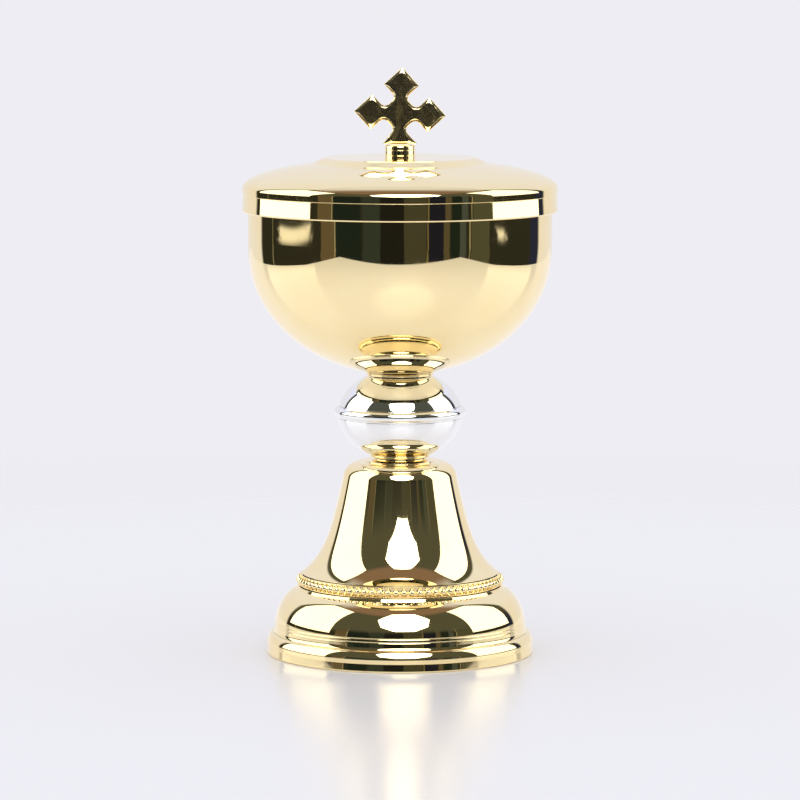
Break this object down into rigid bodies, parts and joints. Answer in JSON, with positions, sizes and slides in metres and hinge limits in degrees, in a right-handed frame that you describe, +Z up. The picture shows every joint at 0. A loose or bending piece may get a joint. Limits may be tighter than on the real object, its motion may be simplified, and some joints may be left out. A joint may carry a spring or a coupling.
{
  "type": "ciborium",
  "caption": "Lidded communion cup on a knopped stem and beaded bell foot, with a lift-off domed lid and a cross finial",
  "frame": {"origin": "centre of the foot's underside", "axes": "+Z up along the stem, +X to the right when the cross is seen face on from -Y"},
  "size_m": [0.1248, 0.1248, 0.2328],
  "materials": {
    "gold_plate": "mirror polished gold plate",
    "silver_plate": "mirror polished silver plate",
    "raw_brass": "turned, unplated",
    "steel_fastener": "zinc plated stock fasteners"
  },
  "bodies": {
    "cup": {"foot_rim": "gold_plate", "foot_base": "gold_plate", "bead_band": "gold_plate", "foot_bell": "gold_plate", "foot_washer": "steel_fastener", "foot_nut": "steel_fastener", "tie_rod": "steel_fastener", "lower_collar": "gold_plate", "knop_lower_shell": "silver_plate", "knop_ring": "silver_plate", "knop_upper_shell": "silver_plate", "knop_spacer": "raw_brass", "upper_collar": "gold_plate", "bowl_boss": "raw_brass", "cup_bowl": "gold_plate"},
    "lid": {"lid_rim_band": "gold_plate", "lid_locating_ring": "gold_plate", "lid_cover": "gold_plate", "finial_ferrule": "gold_plate", "finial_cross": "gold_plate", "finial_stud": "steel_fastener", "finial_washer": "steel_fastener", "finial_nut": "steel_fastener"}
  },
  "joints": [
    {"name": "lid_lift", "type": "slide", "parent": "cup", "child": "lid", "axis": [0, 0, 1], "range_m": [0, 0.08]}
  ]
}
